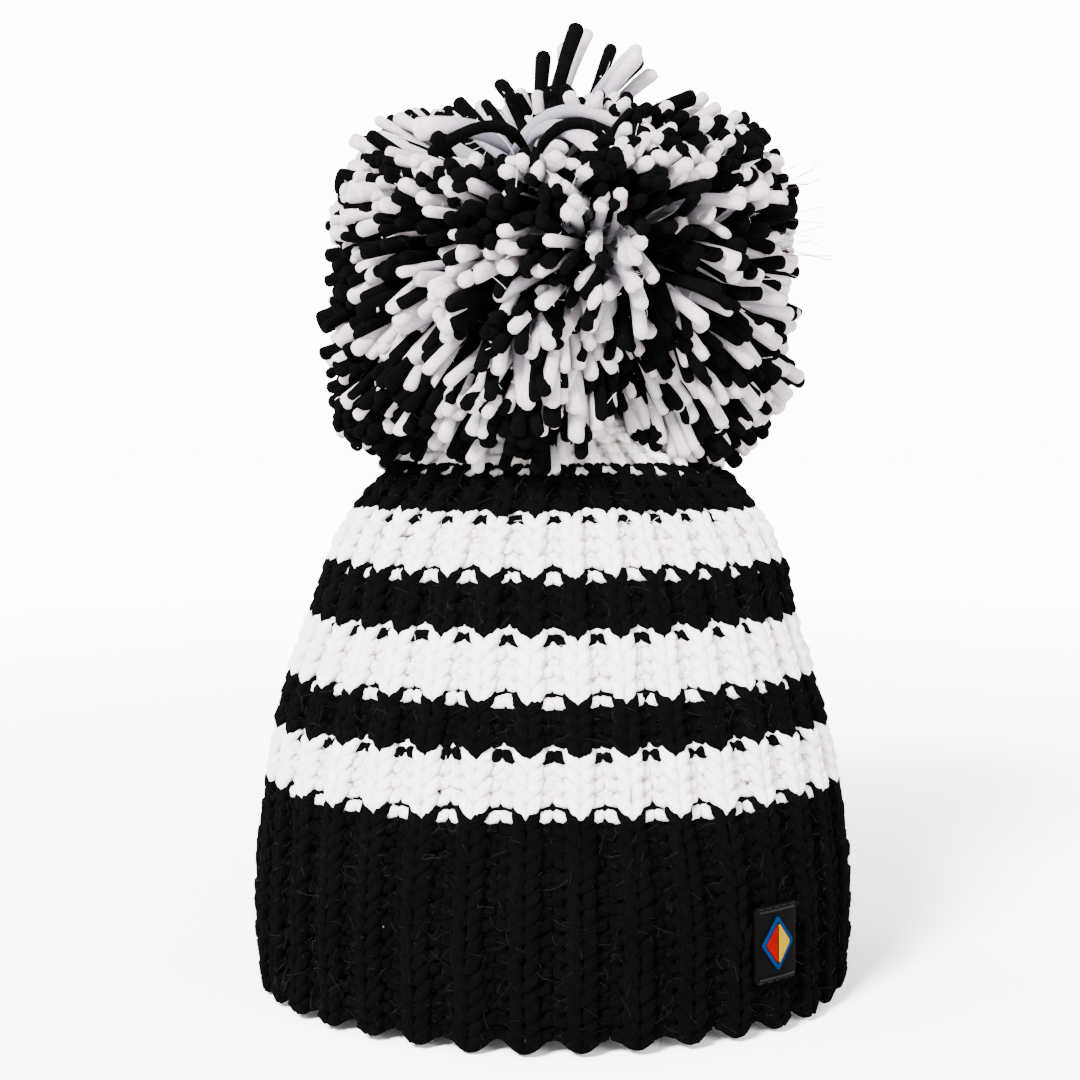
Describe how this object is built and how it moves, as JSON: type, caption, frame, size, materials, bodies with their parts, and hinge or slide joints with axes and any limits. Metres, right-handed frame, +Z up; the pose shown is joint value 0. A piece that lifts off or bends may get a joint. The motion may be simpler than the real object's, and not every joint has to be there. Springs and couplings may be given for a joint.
{
  "type": "pom pom beanie",
  "caption": "Striped black and white chunky rib-knit beanie with a deep brim band, a gathered crown, a small moulded label and a large cut-yarn pom-pom tied to the top.",
  "frame": {"origin": "on the plane of the hem, under the middle of the hat", "axes": "+Z up from the hem to the pom-pom, -Y towards the front, where the label is to the wearer's left, +X to the viewer's right"},
  "size_m": [0.192, 0.1584, 0.3038],
  "materials": {
    "yarn_black": "soft fuzzy acrylic yarn",
    "yarn_white": "soft fuzzy acrylic yarn",
    "core_yarn": "tightly bound yarn",
    "tie_cord": "twisted cord",
    "label_rubber": "satin moulded rubber",
    "label_edge": "satin moulded rubber",
    "motif_blue": "satin moulded rubber",
    "motif_red": "satin moulded rubber",
    "motif_yellow": "satin moulded rubber",
    "label_thread": "polyester thread"
  },
  "bodies": {
    "hat": {"brim_band_black": "yarn_black", "stripe_1_white": "yarn_white", "stripe_2_black": "yarn_black", "stripe_3_white": "yarn_white", "stripe_4_black": "yarn_black", "stripe_5_white": "yarn_white", "stripe_6_black": "yarn_black", "crown_white": "yarn_white", "gather_yarn": "yarn_white", "back_seam_yarn": "yarn_black", "label_patch": "label_rubber", "label_border": "label_edge", "label_motif_blue": "motif_blue", "label_motif_red": "motif_red", "label_motif_yellow": "motif_yellow", "label_stitches": "label_thread"},
    "anchor": {"anchor_cord": "tie_cord", "anchor_knot": "tie_cord"},
    "tails": {"tie_tails": "tie_cord"},
    "pompom": {"pompom_core": "core_yarn", "pompom_tie": "tie_cord", "pompom_black_strands": "yarn_black", "pompom_white_strands": "yarn_white"}
  },
  "joints": [
    {"name": "pompom_sway", "type": "hinge", "parent": "hat", "child": "anchor", "pos_m": [0, 0, 0.176], "axis": [0, 1, 0], "range_deg": [-8, 8]},
    {"name": "pompom_nod", "type": "hinge", "parent": "anchor", "child": "tails", "pos_m": [0, 0, 0.176], "axis": [1, 0, 0], "range_deg": [-8, 8]},
    {"name": "pompom_twist", "type": "hinge", "parent": "tails", "child": "pompom", "pos_m": [0, 0, 0.233], "axis": [0, 0, 1], "range_deg": [-30, 30]}
  ]
}
